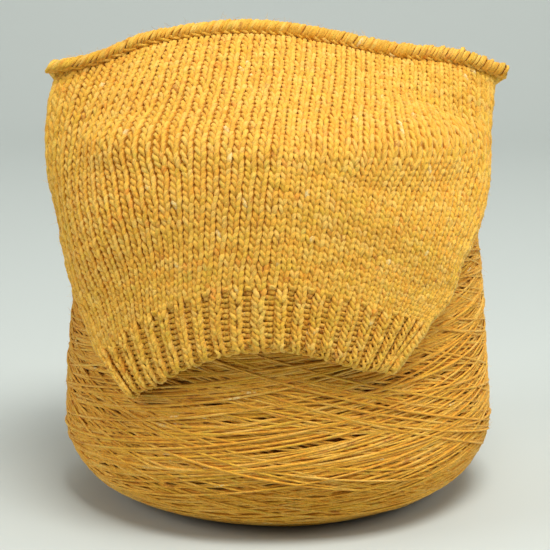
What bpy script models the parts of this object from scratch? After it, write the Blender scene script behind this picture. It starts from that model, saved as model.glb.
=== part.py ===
"""Cone-wound merino yarn with a knitted panel of the same yarn draped over its front.

Metres, +Z up, -Y towards the viewer. The origin is the centre of the flat base, on the axis of the cone.
Two pieces: the wound yarn, and the knitted panel with its rolled top edge, curled side edges and ribbed hem.
"""

import math

import bmesh
import bpy
import numpy as np

MM = 0.001

# Wound yarn: a tapered package with rounded ends
WIDEST_R = 86.0 * MM
BASE_EDGE_IN = 37.0 * MM
BASE_EDGE_UP = 30.0 * MM
TAPER_DEG = 4.3
SHOULDER_Z = 141.0 * MM
NOSE_FOOT_R = 64.0 * MM
NOSE_FOOT_Z = 155.0 * MM
NOSE_SLOPE_DEG = 27.0
CROWN_R = 21.0 * MM
CROWN_RISE = 5.0 * MM
CROWN_FLAT_R = 6.0 * MM

# The wound bands: two crossing sets of soft ridges, raised in the surface
WIND_ANGLE_DEG = 13.0
BANDS_PER_SET = 5
BAND_HEIGHT = 0.5 * MM
BAND_FADE = 16.0 * MM
PACKAGE_SEGMENTS = 72
SIDE_RINGS = 26
EDGE_RINGS = 7
SHOULDER_RINGS = 4
NOSE_RINGS = 6
CROWN_RINGS = 3

# Knitted panel: stitches across, thickness, and the parts of it
WALES = 42
PANEL_THICK = 2.6 * MM
ROLL_R = 2.1 * MM
ROLL_TURN_DEG = 275.0
ROLL_THICK = 2.1 * MM
CURL_R = 2.1 * MM
CURL_WALES = 2
CURL_LENGTH = 7.6 * MM
CURL_STARTS = 0.0
CURL_FULL = 0.09
RIB_STARTS = 0.85
RIB_HEIGHT = 0.55 * MM
DROOP_LEFT = 2.0
DROOP_RIGHT = 1.35
DROOP_ROUND = 0.06
TOP_LEAN = 0.28
TOP_LEAN_ENDS = 0.42
TOP_EDGE_ENDS = 0.30
REST_GAP = 0.8 * MM
REST_SOFTNESS = 0.5 * MM

ROLL_ROWS = 7
PANEL_ROWS = 28
CURL_COLUMNS = 5

# The panel's sections from the top roll down to the hem, in millimetres, a row for each.
# share: how far down the wale. mid: the middle of the panel. left and right: its two side edges.
# spread: how much wider the middle stitches stand than those at the sides.
# full: how far the cloth stands out between its middle and its sides.
SECTIONS = np.array(
    [
        # share, mid_y, mid_z, left_x, left_y, left_z, right_x, right_y, right_z, spread, full
        (0.00, -13.5, 184.4, -80.5, -10.0, 168.5, 81.4, -10.0, 168.5, 0.00, 0.0),
        (0.12, -28.5, 175.4, -86.7, -12.5, 153.0, 81.5, -14.0, 153.5, -0.02, 0.5),
        (0.25, -45.3, 166.9, -88.5, -15.0, 133.5, 79.5, -22.0, 133.7, -0.02, 2.0),
        (0.40, -66.0, 156.1, -84.0, -21.0, 111.0, 75.3, -38.5, 116.0, 0.00, 3.5),
        (0.55, -79.8, 140.8, -77.9, -40.0, 93.3, 68.2, -54.0, 103.4, 0.06, 2.0),
        (0.70, -84.6, 120.0, -71.0, -52.0, 79.8, 62.5, -60.5, 90.8, 0.14, 0.5),
        (0.85, -87.8, 98.8, -64.0, -61.0, 67.2, 52.2, -70.8, 81.5, 0.26, 0.0),
        (1.00, -90.8, 77.1, -51.5, -73.0, 53.5, 37.3, -80.8, 64.7, 0.40, 0.0),
    ]
)
SHARE, MID_Y, MID_Z, LEFT_X, LEFT_Y, LEFT_Z, RIGHT_X, RIGHT_Y, RIGHT_Z, SPREAD, FULL = range(11)

# How far the rolled top edge hangs below its highest point, in millimetres, along its length.
TOP_EDGE = np.array(
    [
        # across, drop
        (-1.10, 14.3),
        (-0.92, 12.5),
        (-0.80, 9.8),
        (-0.635, 4.7),
        (-0.49, 2.6),
        (-0.35, 1.1),
        (-0.13, 0.0),
        (0.01, 0.9),
        (0.15, 2.6),
        (0.30, 4.6),
        (0.44, 7.3),
        (0.58, 9.4),
        (0.72, 10.4),
        (0.87, 11.8),
        (1.00, 14.6),
        (1.10, 16.6),
    ]
)

# Soft troughs and swells of the panel, placed by hand: across from -1 to 1, down from 0 to 1,
# their half-sizes in the same units, and how far the cloth stands out in millimetres.
SWELLS = (
    # across, down, half_across, half_down, out
    (-0.82, 0.10, 0.16, 0.09, -1.8),
    (-0.55, 0.22, 0.22, 0.12, 1.0),
    (0.80, 0.12, 0.20, 0.10, 1.2),
    (-0.62, 0.52, 0.20, 0.14, 1.2),
    (0.50, 0.60, 0.18, 0.16, -0.6),
)


def unit(vectors):
    return vectors / np.maximum(np.linalg.norm(vectors, axis=-1, keepdims=True), 1e-12)


def smoothstep(low, high, x):
    t = np.clip((x - low) / (high - low), 0.0, 1.0)
    return t * t * (3.0 - 2.0 * t)


def smooth_through(x, knots, values):
    """A smooth curve through a table's values, as a cubic with the table's own slopes."""
    slopes = np.gradient(values, knots)
    i = np.clip(np.searchsorted(knots, x, side="right") - 1, 0, len(knots) - 2)
    span = knots[i + 1] - knots[i]
    t = (x - knots[i]) / span
    return (
        (2 * t**3 - 3 * t**2 + 1) * values[i]
        + (t**3 - 2 * t**2 + t) * span * slopes[i]
        + (3 * t**2 - 2 * t**3) * values[i + 1]
        + (t**3 - t**2) * span * slopes[i + 1]
    )


def circle_through(left, mid, right):
    """Centre, radius, and the angles of the two ends, of the plan circle through three points."""
    d = 2 * (
        left[0] * (mid[1] - right[1]) + mid[0] * (right[1] - left[1]) + right[0] * (left[1] - mid[1])
    )
    ls, ms, rs = (p[0] ** 2 + p[1] ** 2 for p in (left, mid, right))
    cx = (ls * (mid[1] - right[1]) + ms * (right[1] - left[1]) + rs * (left[1] - mid[1])) / d
    cy = (ls * (right[0] - mid[0]) + ms * (left[0] - right[0]) + rs * (mid[0] - left[0])) / d
    radius = np.hypot(mid[0] - cx, mid[1] - cy)
    start = np.arctan2(left[0] - cx, cy - left[1])
    middle = np.arctan2(mid[0] - cx, cy - mid[1])
    end = np.arctan2(right[0] - cx, cy - right[1])
    return cx, cy, radius, start, middle, end


def panel_flat(across, down):
    """The panel's middle surface between its side edges, before curls, roll and swells."""
    row = [smooth_through(down, SECTIONS[:, SHARE], values) for values in SECTIONS.T]
    zero = np.zeros_like(row[MID_Y])
    cx, cy, radius, start, middle, end = circle_through(
        (row[LEFT_X], row[LEFT_Y]), (zero, row[MID_Y]), (row[RIGHT_X], row[RIGHT_Y])
    )
    lean = TOP_LEAN * (1 - across**2) * ((1 - across) / 2) ** 2
    leaned = across + lean * (1 - smoothstep(-0.1, TOP_LEAN_ENDS, down))
    spread = row[SPREAD]
    along = leaned * (1 + spread) - spread * leaned**3
    angle = middle + np.where(along < 0, -along * (start - middle), along * (end - middle))
    reach = np.sqrt(along**2 + DROOP_ROUND**2) - DROOP_ROUND
    reach = reach / (np.sqrt(1 + DROOP_ROUND**2) - DROOP_ROUND)
    drop_left = (row[MID_Z] - row[LEFT_Z]) * reach**DROOP_LEFT
    drop_right = (row[MID_Z] - row[RIGHT_Z]) * reach**DROOP_RIGHT
    drop = np.where(along < 0, drop_left, drop_right)
    top_drop = smooth_through(along, TOP_EDGE[:, 0], TOP_EDGE[:, 1])
    top_share = 1 - smoothstep(0.0, TOP_EDGE_ENDS, down)
    height = row[MID_Z] - (drop * (1 - top_share) + top_drop * top_share)
    reach_out = radius + row[FULL] * 4 * along**2 * (1 - along**2)
    points = np.stack([cx + reach_out * np.sin(angle), cy - reach_out * np.cos(angle), height], axis=-1)
    return points * MM


def panel_frame(surface, across, down):
    """Directions across and down a surface, and its outward normal."""
    step = 1e-3
    right = unit(surface(across + step, down) - surface(across - step, down))
    below = unit(surface(across, down + step) - surface(across, np.maximum(down - step, 0.0)))
    return right, below, unit(np.cross(right, -below))


def resting_on_package(points, needed):
    """Lifts cloth that lies nearer to the wound yarn than needed until it rests on it."""
    radius, height = package_profile()
    slope_r, slope_z = np.gradient(radius), np.gradient(height)
    steep = np.hypot(slope_r, slope_z)
    outline = np.stack([radius, height], axis=-1)
    outward = np.stack([slope_z / steep, -slope_r / steep], axis=-1)
    around = unit(points[..., :2])
    here = np.stack([np.hypot(points[..., 0], points[..., 1]), points[..., 2]], axis=-1)
    nearest = np.full(here.shape[:-1], np.inf)
    gap = np.zeros(here.shape[:-1])
    lift_way = np.zeros(here.shape)
    for start, end, way, next_way in zip(outline, outline[1:], outward, outward[1:]):
        step = end - start
        t = np.clip((here - start) @ step / (step @ step), 0.0, 1.0)[..., None]
        offset = here - start - t * step
        distance = np.linalg.norm(offset, axis=-1)
        normal = unit(way * (1 - t) + next_way * t)
        closer = distance < nearest
        nearest = np.where(closer, distance, nearest)
        gap = np.where(closer, np.sum(offset * normal, axis=-1), gap)
        lift_way = np.where(closer[..., None], normal, lift_way)
    lift = REST_SOFTNESS * np.log1p(np.exp((needed - gap) / REST_SOFTNESS))
    move = lift_way * lift[..., None]
    return points + np.concatenate([around * move[..., :1], move[..., 1:]], axis=-1)


def panel_swollen(across, down):
    """The flat part with its hand-placed swells and troughs, resting on the wound yarn."""
    points = panel_flat(across, down)
    _, _, normal = panel_frame(panel_flat, across, down)
    out = sum(
        height * np.exp(-(((across - at) / half_across) ** 2) - ((down - low) / half_down) ** 2)
        for at, low, half_across, half_down, height in SWELLS
    )
    near_edge = smoothstep(0.8, 1.0, np.abs(across))
    curl_room = 2 * CURL_R * near_edge * smoothstep(CURL_STARTS, CURL_FULL, down)
    swollen = points + normal * (out * MM)[..., None]
    return resting_on_package(swollen, PANEL_THICK / 2 + REST_GAP + curl_room)


def panel_curled(across, down):
    """The part below the roll, with its side edges curled in towards the cone."""
    inside = np.clip(across, -1.0, 1.0)
    over = np.abs(across) - np.abs(inside)
    points = panel_swollen(inside, down)
    right, _, normal = panel_frame(panel_swollen, inside, down)
    outward = right * np.sign(across)[..., None]
    length = over * (WALES / 2) / CURL_WALES * CURL_LENGTH
    bend = smoothstep(CURL_STARTS, CURL_FULL, down) / CURL_R + 1e-3
    turn = bend * length
    sideways = (np.sin(turn) / bend)[..., None]
    inwards = ((1 - np.cos(turn)) / bend)[..., None]
    return points + outward * sideways - normal * inwards


def panel_middle(across, down):
    """The whole panel's middle surface: across past 1 is a curled side, down below 0 is the top roll."""
    flat_down = np.maximum(down, 0.0)
    points = panel_curled(across, flat_down)
    _, below, normal = panel_frame(panel_curled, across, flat_down)
    turn = np.maximum(-down, 0.0) * math.radians(ROLL_TURN_DEG)
    return (
        points
        - below * (ROLL_R * np.sin(turn))[..., None]
        + normal * (ROLL_R * (1 - np.cos(turn)))[..., None]
    )


def panel_grid():
    """Front and back points of the panel, a column for each stitch and finer columns in the curls."""
    flat = np.linspace(-1, 1, WALES + 1)
    curl = 1 + np.linspace(0, CURL_WALES / (WALES / 2), CURL_COLUMNS + 1)[1:]
    columns = np.concatenate([-curl[::-1], flat, curl])
    rows = np.concatenate([np.linspace(-1, 0, ROLL_ROWS + 1)[:-1], np.linspace(0, 1, PANEL_ROWS + 1)])
    across, down = np.meshgrid(columns, rows)
    middle = panel_middle(across, down)
    step = 1e-3
    side = panel_middle(across + step, down) - panel_middle(across - step, down)
    fall = panel_middle(across, np.minimum(down + step, 1.0)) - panel_middle(across, down - step)
    normal = unit(np.cross(side, -fall))
    thick = PANEL_THICK + (ROLL_THICK - PANEL_THICK) * smoothstep(0.0, -0.15, down)
    stitch = np.rint((across + 1) * WALES / 2)
    ridge = np.where(np.abs(across) <= 1, np.where(stitch % 2 == 0, 1.0, -1.0), 0.0)
    rib = ridge * RIB_HEIGHT * smoothstep(RIB_STARTS - 0.03, RIB_STARTS + 0.03, down)
    front = middle + normal * (thick / 2 + rib)[..., None]
    back = middle - normal * (thick / 2)[..., None]
    return front, back


def sheet_mesh(name, front, back):
    """A closed sheet between two grids of points, with its rim."""
    rows, columns = front.shape[:2]
    shape = bmesh.new()
    faces = [
        [[shape.verts.new(point) for point in row] for row in grid] for grid in (front, back)
    ]
    for r in range(rows - 1):
        for c in range(columns - 1):
            for grid, flip in zip(faces, (True, False)):
                corners = [grid[r][c], grid[r][c + 1], grid[r + 1][c + 1], grid[r + 1][c]]
                shape.faces.new(corners[::-1] if flip else corners)
    loop = (
        [(0, c) for c in range(columns)]
        + [(r, columns - 1) for r in range(1, rows)]
        + [(rows - 1, c) for c in range(columns - 2, -1, -1)]
        + [(r, 0) for r in range(rows - 2, 0, -1)]
    )
    outer, inner = faces
    for (r, c), (nr, nc) in zip(loop, loop[1:] + loop[:1]):
        shape.faces.new([outer[r][c], outer[nr][nc], inner[nr][nc], inner[r][c]])
    return finished_mesh(name, shape)


def finished_mesh(name, shape):
    bmesh.ops.recalc_face_normals(shape, faces=shape.faces)
    bmesh.ops.triangulate(shape, faces=shape.faces)
    mesh = bpy.data.meshes.new(name)
    shape.to_mesh(mesh)
    shape.free()
    mesh.shade_smooth()
    mesh.set_sharp_from_angle(angle=math.radians(50))
    return mesh


def package_profile():
    """Radius and height up the outside of the wound yarn, from the edge of its flat base to its crown."""
    turn = np.linspace(0, math.pi / 2, EDGE_RINGS + 1)
    edge_r = WIDEST_R - BASE_EDGE_IN + BASE_EDGE_IN * np.sin(turn)
    edge_z = BASE_EDGE_UP - BASE_EDGE_UP * np.cos(turn)

    side_z = np.linspace(BASE_EDGE_UP, SHOULDER_Z, SIDE_RINGS + 1)[1:]
    side_r = WIDEST_R - (side_z - BASE_EDGE_UP) * math.tan(math.radians(TAPER_DEG))

    # the shoulder is a quadratic arc from the side over to the foot of the nose
    t = np.linspace(0, 1, SHOULDER_RINGS + 1)[1:]
    corner_z = NOSE_FOOT_Z - 5.0 * MM
    corner_r = side_r[-1] - (corner_z - SHOULDER_Z) * math.tan(math.radians(TAPER_DEG))
    shoulder_r = (1 - t) ** 2 * side_r[-1] + 2 * t * (1 - t) * corner_r + t**2 * NOSE_FOOT_R
    shoulder_z = (1 - t) ** 2 * SHOULDER_Z + 2 * t * (1 - t) * corner_z + t**2 * NOSE_FOOT_Z

    nose_r = np.linspace(NOSE_FOOT_R, CROWN_R, NOSE_RINGS + 1)[1:]
    nose_z = NOSE_FOOT_Z + (NOSE_FOOT_R - nose_r) * math.tan(math.radians(NOSE_SLOPE_DEG))

    crown_t = np.linspace(0, 1, CROWN_RINGS + 1)[1:]
    crown_r = CROWN_R + (CROWN_FLAT_R - CROWN_R) * crown_t
    crown_z = nose_z[-1] + CROWN_RISE * np.sin(crown_t * math.pi / 2)

    radius = np.concatenate([edge_r, side_r, shoulder_r, nose_r, crown_r])
    height = np.concatenate([edge_z, side_z, shoulder_z, nose_z, crown_z])
    return radius, height


def package_mesh():
    """The wound yarn as one turned solid, with its crossing bands raised along the surface."""
    radius, height = package_profile()
    length = np.concatenate([[0], np.cumsum(np.hypot(np.diff(radius), np.diff(height)))])
    fade = smoothstep(0, BAND_FADE, length) * smoothstep(length[-1], length[-1] - 3 * BAND_FADE, length)
    twist = 1 / (WIDEST_R * math.tan(math.radians(WIND_ANGLE_DEG)))
    slope_r, slope_z = np.gradient(radius), np.gradient(height)
    out_r, out_z = slope_z / np.hypot(slope_r, slope_z), -slope_r / np.hypot(slope_r, slope_z)
    shape = bmesh.new()
    rings = []
    for r, z, s, f, nr, nz in zip(radius, height, length, fade, out_r, out_z):
        ring = []
        for k in range(PACKAGE_SEGMENTS):
            angle = 2 * math.pi * k / PACKAGE_SEGMENTS
            rising = math.cos(BANDS_PER_SET * (angle - twist * s))
            falling = math.cos(BANDS_PER_SET * (angle + twist * s))
            lift = -BAND_HEIGHT * f * (1 - max(rising, falling)) / 2
            ring.append(
                shape.verts.new(
                    (
                        (r + nr * lift) * math.sin(angle),
                        -(r + nr * lift) * math.cos(angle),
                        z + nz * lift,
                    )
                )
            )
        rings.append(ring)
    for low, high in zip(rings, rings[1:]):
        for k in range(PACKAGE_SEGMENTS):
            n = (k + 1) % PACKAGE_SEGMENTS
            shape.faces.new([low[k], low[n], high[n], high[k]])
    shape.faces.new(rings[0][::-1])
    shape.faces.new(rings[-1])
    return finished_mesh("wound_yarn", shape)


def yarn_material(name, colour, roughness):
    material = bpy.data.materials.new(name)
    material.use_nodes = True
    shader = material.node_tree.nodes["Principled BSDF"]
    shader.inputs["Base Color"].default_value = (*colour, 1.0)
    shader.inputs["Roughness"].default_value = roughness
    shader.inputs["Metallic"].default_value = 0.0
    return material


def add_piece(name, mesh, material):
    piece = bpy.data.objects.new(name, mesh)
    mesh.materials.append(material)
    bpy.context.scene.collection.objects.link(piece)
    return piece


def main():
    for old in list(bpy.data.objects):
        bpy.data.objects.remove(old)
    wound = yarn_material("wound_yarn", (0.53, 0.27, 0.045), 0.9)
    knitted = yarn_material("knitted_yarn", (0.66, 0.36, 0.07), 0.95)
    add_piece("wound_yarn", package_mesh(), wound)
    front, back = panel_grid()
    add_piece("knitted_panel", sheet_mesh("knitted_panel", front, back), knitted)


main()
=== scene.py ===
"""The finished look of the merino yarn cone with its knitted sample panel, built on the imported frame.

Metres, +Z up, -Y towards the viewer. The panel's stitches and the turns of the cone are real yarn paths,
laid on the same surfaces as the CAD solids.
"""

import math

import bpy
import numpy as np
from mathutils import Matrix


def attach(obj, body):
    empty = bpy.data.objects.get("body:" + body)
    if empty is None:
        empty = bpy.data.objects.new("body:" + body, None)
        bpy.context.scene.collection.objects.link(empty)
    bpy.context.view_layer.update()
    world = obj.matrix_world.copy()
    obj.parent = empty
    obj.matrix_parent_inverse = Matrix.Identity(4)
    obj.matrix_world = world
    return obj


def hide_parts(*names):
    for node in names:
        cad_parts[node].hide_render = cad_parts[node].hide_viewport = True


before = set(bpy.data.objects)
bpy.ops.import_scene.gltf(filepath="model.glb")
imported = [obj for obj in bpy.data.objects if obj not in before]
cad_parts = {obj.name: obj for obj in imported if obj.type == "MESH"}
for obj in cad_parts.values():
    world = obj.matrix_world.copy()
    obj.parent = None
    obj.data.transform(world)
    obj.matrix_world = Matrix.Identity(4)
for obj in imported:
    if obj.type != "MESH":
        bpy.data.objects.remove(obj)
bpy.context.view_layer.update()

MM = 0.001
rng = np.random.default_rng(41)

# Wound yarn, as in the CAD part
WIDEST_R = 86.0 * MM
BASE_EDGE_IN = 37.0 * MM
BASE_EDGE_UP = 30.0 * MM
TAPER_DEG = 4.3
SHOULDER_Z = 141.0 * MM
NOSE_FOOT_R = 64.0 * MM
NOSE_FOOT_Z = 155.0 * MM
NOSE_SLOPE_DEG = 27.0
CROWN_R = 21.0 * MM
CROWN_RISE = 5.0 * MM
CROWN_FLAT_R = 6.0 * MM

# Knitted panel, as in the CAD part
WALES = 42
PANEL_THICK = 2.6 * MM
ROLL_R = 2.1 * MM
ROLL_TURN_DEG = 275.0
CURL_R = 2.1 * MM
CURL_WALES = 2
CURL_LENGTH = 7.6 * MM
CURL_STARTS = 0.0
CURL_FULL = 0.09
RIB_STARTS = 0.85
RIB_HEIGHT = 0.55 * MM
DROOP_LEFT = 2.0
DROOP_RIGHT = 1.35
DROOP_ROUND = 0.06
TOP_LEAN = 0.28
TOP_LEAN_ENDS = 0.42
TOP_EDGE_ENDS = 0.30
REST_GAP = 0.8 * MM
REST_SOFTNESS = 0.5 * MM

SECTIONS = np.array(
    [
        # share, mid_y, mid_z, left_x, left_y, left_z, right_x, right_y, right_z, spread, full
        (0.00, -13.5, 184.4, -80.5, -10.0, 168.5, 81.4, -10.0, 168.5, 0.00, 0.0),
        (0.12, -28.5, 175.4, -86.7, -12.5, 153.0, 81.5, -14.0, 153.5, -0.02, 0.5),
        (0.25, -45.3, 166.9, -88.5, -15.0, 133.5, 79.5, -22.0, 133.7, -0.02, 2.0),
        (0.40, -66.0, 156.1, -84.0, -21.0, 111.0, 75.3, -38.5, 116.0, 0.00, 3.5),
        (0.55, -79.8, 140.8, -77.9, -40.0, 93.3, 68.2, -54.0, 103.4, 0.06, 2.0),
        (0.70, -84.6, 120.0, -71.0, -52.0, 79.8, 62.5, -60.5, 90.8, 0.14, 0.5),
        (0.85, -87.8, 98.8, -64.0, -61.0, 67.2, 52.2, -70.8, 81.5, 0.26, 0.0),
        (1.00, -90.8, 77.1, -51.5, -73.0, 53.5, 37.3, -80.8, 64.7, 0.40, 0.0),
    ]
)
SHARE, MID_Y, MID_Z, LEFT_X, LEFT_Y, LEFT_Z, RIGHT_X, RIGHT_Y, RIGHT_Z, SPREAD, FULL = range(11)

TOP_EDGE = np.array(
    [
        # across, drop
        (-1.10, 14.3),
        (-0.92, 12.5),
        (-0.80, 9.8),
        (-0.635, 4.7),
        (-0.49, 2.6),
        (-0.35, 1.1),
        (-0.13, 0.0),
        (0.01, 0.9),
        (0.15, 2.6),
        (0.30, 4.6),
        (0.44, 7.3),
        (0.58, 9.4),
        (0.72, 10.4),
        (0.87, 11.8),
        (1.00, 14.6),
        (1.10, 16.6),
    ]
)

SWELLS = (
    # across, down, half_across, half_down, out
    (-0.82, 0.10, 0.16, 0.09, -1.8),
    (-0.55, 0.22, 0.22, 0.12, 1.0),
    (0.80, 0.12, 0.20, 0.10, 1.2),
    (-0.62, 0.52, 0.20, 0.14, 1.2),
    (0.50, 0.60, 0.18, 0.16, -0.6),
)

# Knitting: rows, and one stitch's yarn path
ROWS = 62
RIB_ROWS = 11
ROLL_ROWS = 4
ROW_PITCH = 2.42 * MM
STITCH_STEPS = 13
STITCH_SIDES = 5
LOOP_HEIGHT = 1.00
LEFT_LEG_LEAN = 0.270
RIGHT_LEG_LEAN = 0.145
LEGS_IN = 0.035
LEGS_UNEVEN = 0.08
LOOP_DEPTH = 0.64 * MM
BACK_DEPTH = 1.5
YARN_R = 0.86 * MM
RIB_WIDEN = 0.15
RIB_DEPTH = 1.15 * MM
HEM_TUCK = 1.1 * MM
HEM_UP = 0.014
HEM_CORNER_UP = 0.014
WRAPS_PER_STITCH = 3
WRAP_SLANT = -0.28
WRAP_R = 0.78 * MM

# How far the wales drift sideways in the cloth, in stitches: a row for each height, a column for each place across
DRIFT_DOWN = (0.00, 0.25, 0.50, 0.75, 1.00)
DRIFT_ACROSS = (-0.75, -0.45, -0.15, 0.15, 0.45, 0.75)
DRIFT_REACH = (0.34, 0.26)
WALE_DRIFT = (
    (-0.87, -1.31, 0.06, 0.39, 0.81, 1.20),
    (1.13, 0.35, 1.05, -0.39, 1.10, -1.90),
    (-1.60, 0.93, -0.40, 0.64, -0.70, 1.90),
    (1.80, -0.75, 0.49, -0.58, 0.50, -2.10),
    (-0.81, 0.57, -1.49, 0.30, -1.90, 2.20),
)

# Winding: a rising and a falling slope of the yarn, each with its spread
STRAND_R = 0.50 * MM
STRAND_SIDES = 4
STRAND_STEP = 9.0 * MM
RISE_DEG = 8.5
RISE_SPREAD = 2.5
FALL_DEG = 14.5
FALL_SPREAD = 3.5
LAYERS = 220
DEEPEST = 2.3 * MM
OUTERMOST = 0.35 * MM
CHUNK_STEPS = 420
CROWN_TURNS = 60
CROWN_REACH = 58.0 * MM
CROWN_SUNK = 2.0 * MM
CROWN_STEPS = 36


def unit(vectors):
    return vectors / np.maximum(np.linalg.norm(vectors, axis=-1, keepdims=True), 1e-12)


def smoothstep(low, high, x):
    t = np.clip((x - low) / (high - low), 0.0, 1.0)
    return t * t * (3.0 - 2.0 * t)


def smooth_through(x, knots, values):
    slopes = np.gradient(values, knots)
    i = np.clip(np.searchsorted(knots, x, side="right") - 1, 0, len(knots) - 2)
    span = knots[i + 1] - knots[i]
    t = (x - knots[i]) / span
    return (
        (2 * t**3 - 3 * t**2 + 1) * values[i]
        + (t**3 - 2 * t**2 + t) * span * slopes[i]
        + (3 * t**2 - 2 * t**3) * values[i + 1]
        + (t**3 - t**2) * span * slopes[i + 1]
    )


def circle_through(left, mid, right):
    d = 2 * (
        left[0] * (mid[1] - right[1]) + mid[0] * (right[1] - left[1]) + right[0] * (left[1] - mid[1])
    )
    ls, ms, rs = (p[0] ** 2 + p[1] ** 2 for p in (left, mid, right))
    cx = (ls * (mid[1] - right[1]) + ms * (right[1] - left[1]) + rs * (left[1] - mid[1])) / d
    cy = (ls * (right[0] - mid[0]) + ms * (left[0] - right[0]) + rs * (mid[0] - left[0])) / d
    radius = np.hypot(mid[0] - cx, mid[1] - cy)
    start = np.arctan2(left[0] - cx, cy - left[1])
    middle = np.arctan2(mid[0] - cx, cy - mid[1])
    end = np.arctan2(right[0] - cx, cy - right[1])
    return cx, cy, radius, start, middle, end


def package_profile(finer=1):
    """Radius and height up the outside of the wound yarn, from the edge of its flat base to its crown."""
    turn = np.linspace(0, math.pi / 2, 7 * finer + 1)
    edge_r = WIDEST_R - BASE_EDGE_IN + BASE_EDGE_IN * np.sin(turn)
    edge_z = BASE_EDGE_UP - BASE_EDGE_UP * np.cos(turn)
    side_z = np.linspace(BASE_EDGE_UP, SHOULDER_Z, 26 * finer + 1)[1:]
    side_r = WIDEST_R - (side_z - BASE_EDGE_UP) * math.tan(math.radians(TAPER_DEG))
    t = np.linspace(0, 1, 4 * finer + 1)[1:]
    corner_z = NOSE_FOOT_Z - 5.0 * MM
    corner_r = side_r[-1] - (corner_z - SHOULDER_Z) * math.tan(math.radians(TAPER_DEG))
    shoulder_r = (1 - t) ** 2 * side_r[-1] + 2 * t * (1 - t) * corner_r + t**2 * NOSE_FOOT_R
    shoulder_z = (1 - t) ** 2 * SHOULDER_Z + 2 * t * (1 - t) * corner_z + t**2 * NOSE_FOOT_Z
    nose_r = np.linspace(NOSE_FOOT_R, CROWN_R, 6 * finer + 1)[1:]
    nose_z = NOSE_FOOT_Z + (NOSE_FOOT_R - nose_r) * math.tan(math.radians(NOSE_SLOPE_DEG))
    crown_t = np.linspace(0, 1, 3 * finer + 1)[1:]
    crown_r = CROWN_R + (CROWN_FLAT_R - CROWN_R) * crown_t
    crown_z = nose_z[-1] + CROWN_RISE * np.sin(crown_t * math.pi / 2)
    radius = np.concatenate([edge_r, side_r, shoulder_r, nose_r, crown_r])
    height = np.concatenate([edge_z, side_z, shoulder_z, nose_z, crown_z])
    return radius, height


def panel_flat(across, down):
    row = [smooth_through(down, SECTIONS[:, SHARE], values) for values in SECTIONS.T]
    zero = np.zeros_like(row[MID_Y])
    cx, cy, radius, start, middle, end = circle_through(
        (row[LEFT_X], row[LEFT_Y]), (zero, row[MID_Y]), (row[RIGHT_X], row[RIGHT_Y])
    )
    lean = TOP_LEAN * (1 - across**2) * ((1 - across) / 2) ** 2
    leaned = across + lean * (1 - smoothstep(-0.1, TOP_LEAN_ENDS, down))
    spread = row[SPREAD]
    along = leaned * (1 + spread) - spread * leaned**3
    angle = middle + np.where(along < 0, -along * (start - middle), along * (end - middle))
    reach = np.sqrt(along**2 + DROOP_ROUND**2) - DROOP_ROUND
    reach = reach / (np.sqrt(1 + DROOP_ROUND**2) - DROOP_ROUND)
    drop_left = (row[MID_Z] - row[LEFT_Z]) * reach**DROOP_LEFT
    drop_right = (row[MID_Z] - row[RIGHT_Z]) * reach**DROOP_RIGHT
    drop = np.where(along < 0, drop_left, drop_right)
    top_drop = smooth_through(along, TOP_EDGE[:, 0], TOP_EDGE[:, 1])
    top_share = 1 - smoothstep(0.0, TOP_EDGE_ENDS, down)
    height = row[MID_Z] - (drop * (1 - top_share) + top_drop * top_share)
    reach_out = radius + row[FULL] * 4 * along**2 * (1 - along**2)
    points = np.stack([cx + reach_out * np.sin(angle), cy - reach_out * np.cos(angle), height], axis=-1)
    return points * MM


def panel_frame(surface, across, down):
    step = 1e-3
    right = unit(surface(across + step, down) - surface(across - step, down))
    below = unit(surface(across, down + step) - surface(across, np.maximum(down - step, 0.0)))
    return right, below, unit(np.cross(right, -below))


def resting_on_package(points, needed):
    radius, height = package_profile()
    slope_r, slope_z = np.gradient(radius), np.gradient(height)
    steep = np.hypot(slope_r, slope_z)
    outline = np.stack([radius, height], axis=-1)
    outward = np.stack([slope_z / steep, -slope_r / steep], axis=-1)
    around = unit(points[..., :2])
    here = np.stack([np.hypot(points[..., 0], points[..., 1]), points[..., 2]], axis=-1)
    nearest = np.full(here.shape[:-1], np.inf)
    gap = np.zeros(here.shape[:-1])
    lift_way = np.zeros(here.shape)
    for start, end, way, next_way in zip(outline, outline[1:], outward, outward[1:]):
        step = end - start
        t = np.clip((here - start) @ step / (step @ step), 0.0, 1.0)[..., None]
        offset = here - start - t * step
        distance = np.linalg.norm(offset, axis=-1)
        normal = unit(way * (1 - t) + next_way * t)
        closer = distance < nearest
        nearest = np.where(closer, distance, nearest)
        gap = np.where(closer, np.sum(offset * normal, axis=-1), gap)
        lift_way = np.where(closer[..., None], normal, lift_way)
    lift = REST_SOFTNESS * np.log1p(np.exp((needed - gap) / REST_SOFTNESS))
    move = lift_way * lift[..., None]
    return points + np.concatenate([around * move[..., :1], move[..., 1:]], axis=-1)


def panel_swollen(across, down):
    points = panel_flat(across, down)
    _, _, normal = panel_frame(panel_flat, across, down)
    out = sum(
        height * np.exp(-(((across - at) / half_across) ** 2) - ((down - low) / half_down) ** 2)
        for at, low, half_across, half_down, height in SWELLS
    )
    curl_room = 2 * CURL_R * smoothstep(0.8, 1.0, np.abs(across)) * smoothstep(CURL_STARTS, CURL_FULL, down)
    return resting_on_package(points + normal * (out * MM)[..., None], PANEL_THICK / 2 + REST_GAP + curl_room)


def panel_curled(across, down):
    inside = np.clip(across, -1.0, 1.0)
    over = np.abs(across) - np.abs(inside)
    points = panel_swollen(inside, down)
    right, _, normal = panel_frame(panel_swollen, inside, down)
    outward = right * np.sign(across)[..., None]
    length = over * (WALES / 2) / CURL_WALES * CURL_LENGTH
    bend = smoothstep(CURL_STARTS, CURL_FULL, down) / CURL_R + 1e-3
    turn = bend * length
    return points + outward * (np.sin(turn) / bend)[..., None] - normal * ((1 - np.cos(turn)) / bend)[..., None]


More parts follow.
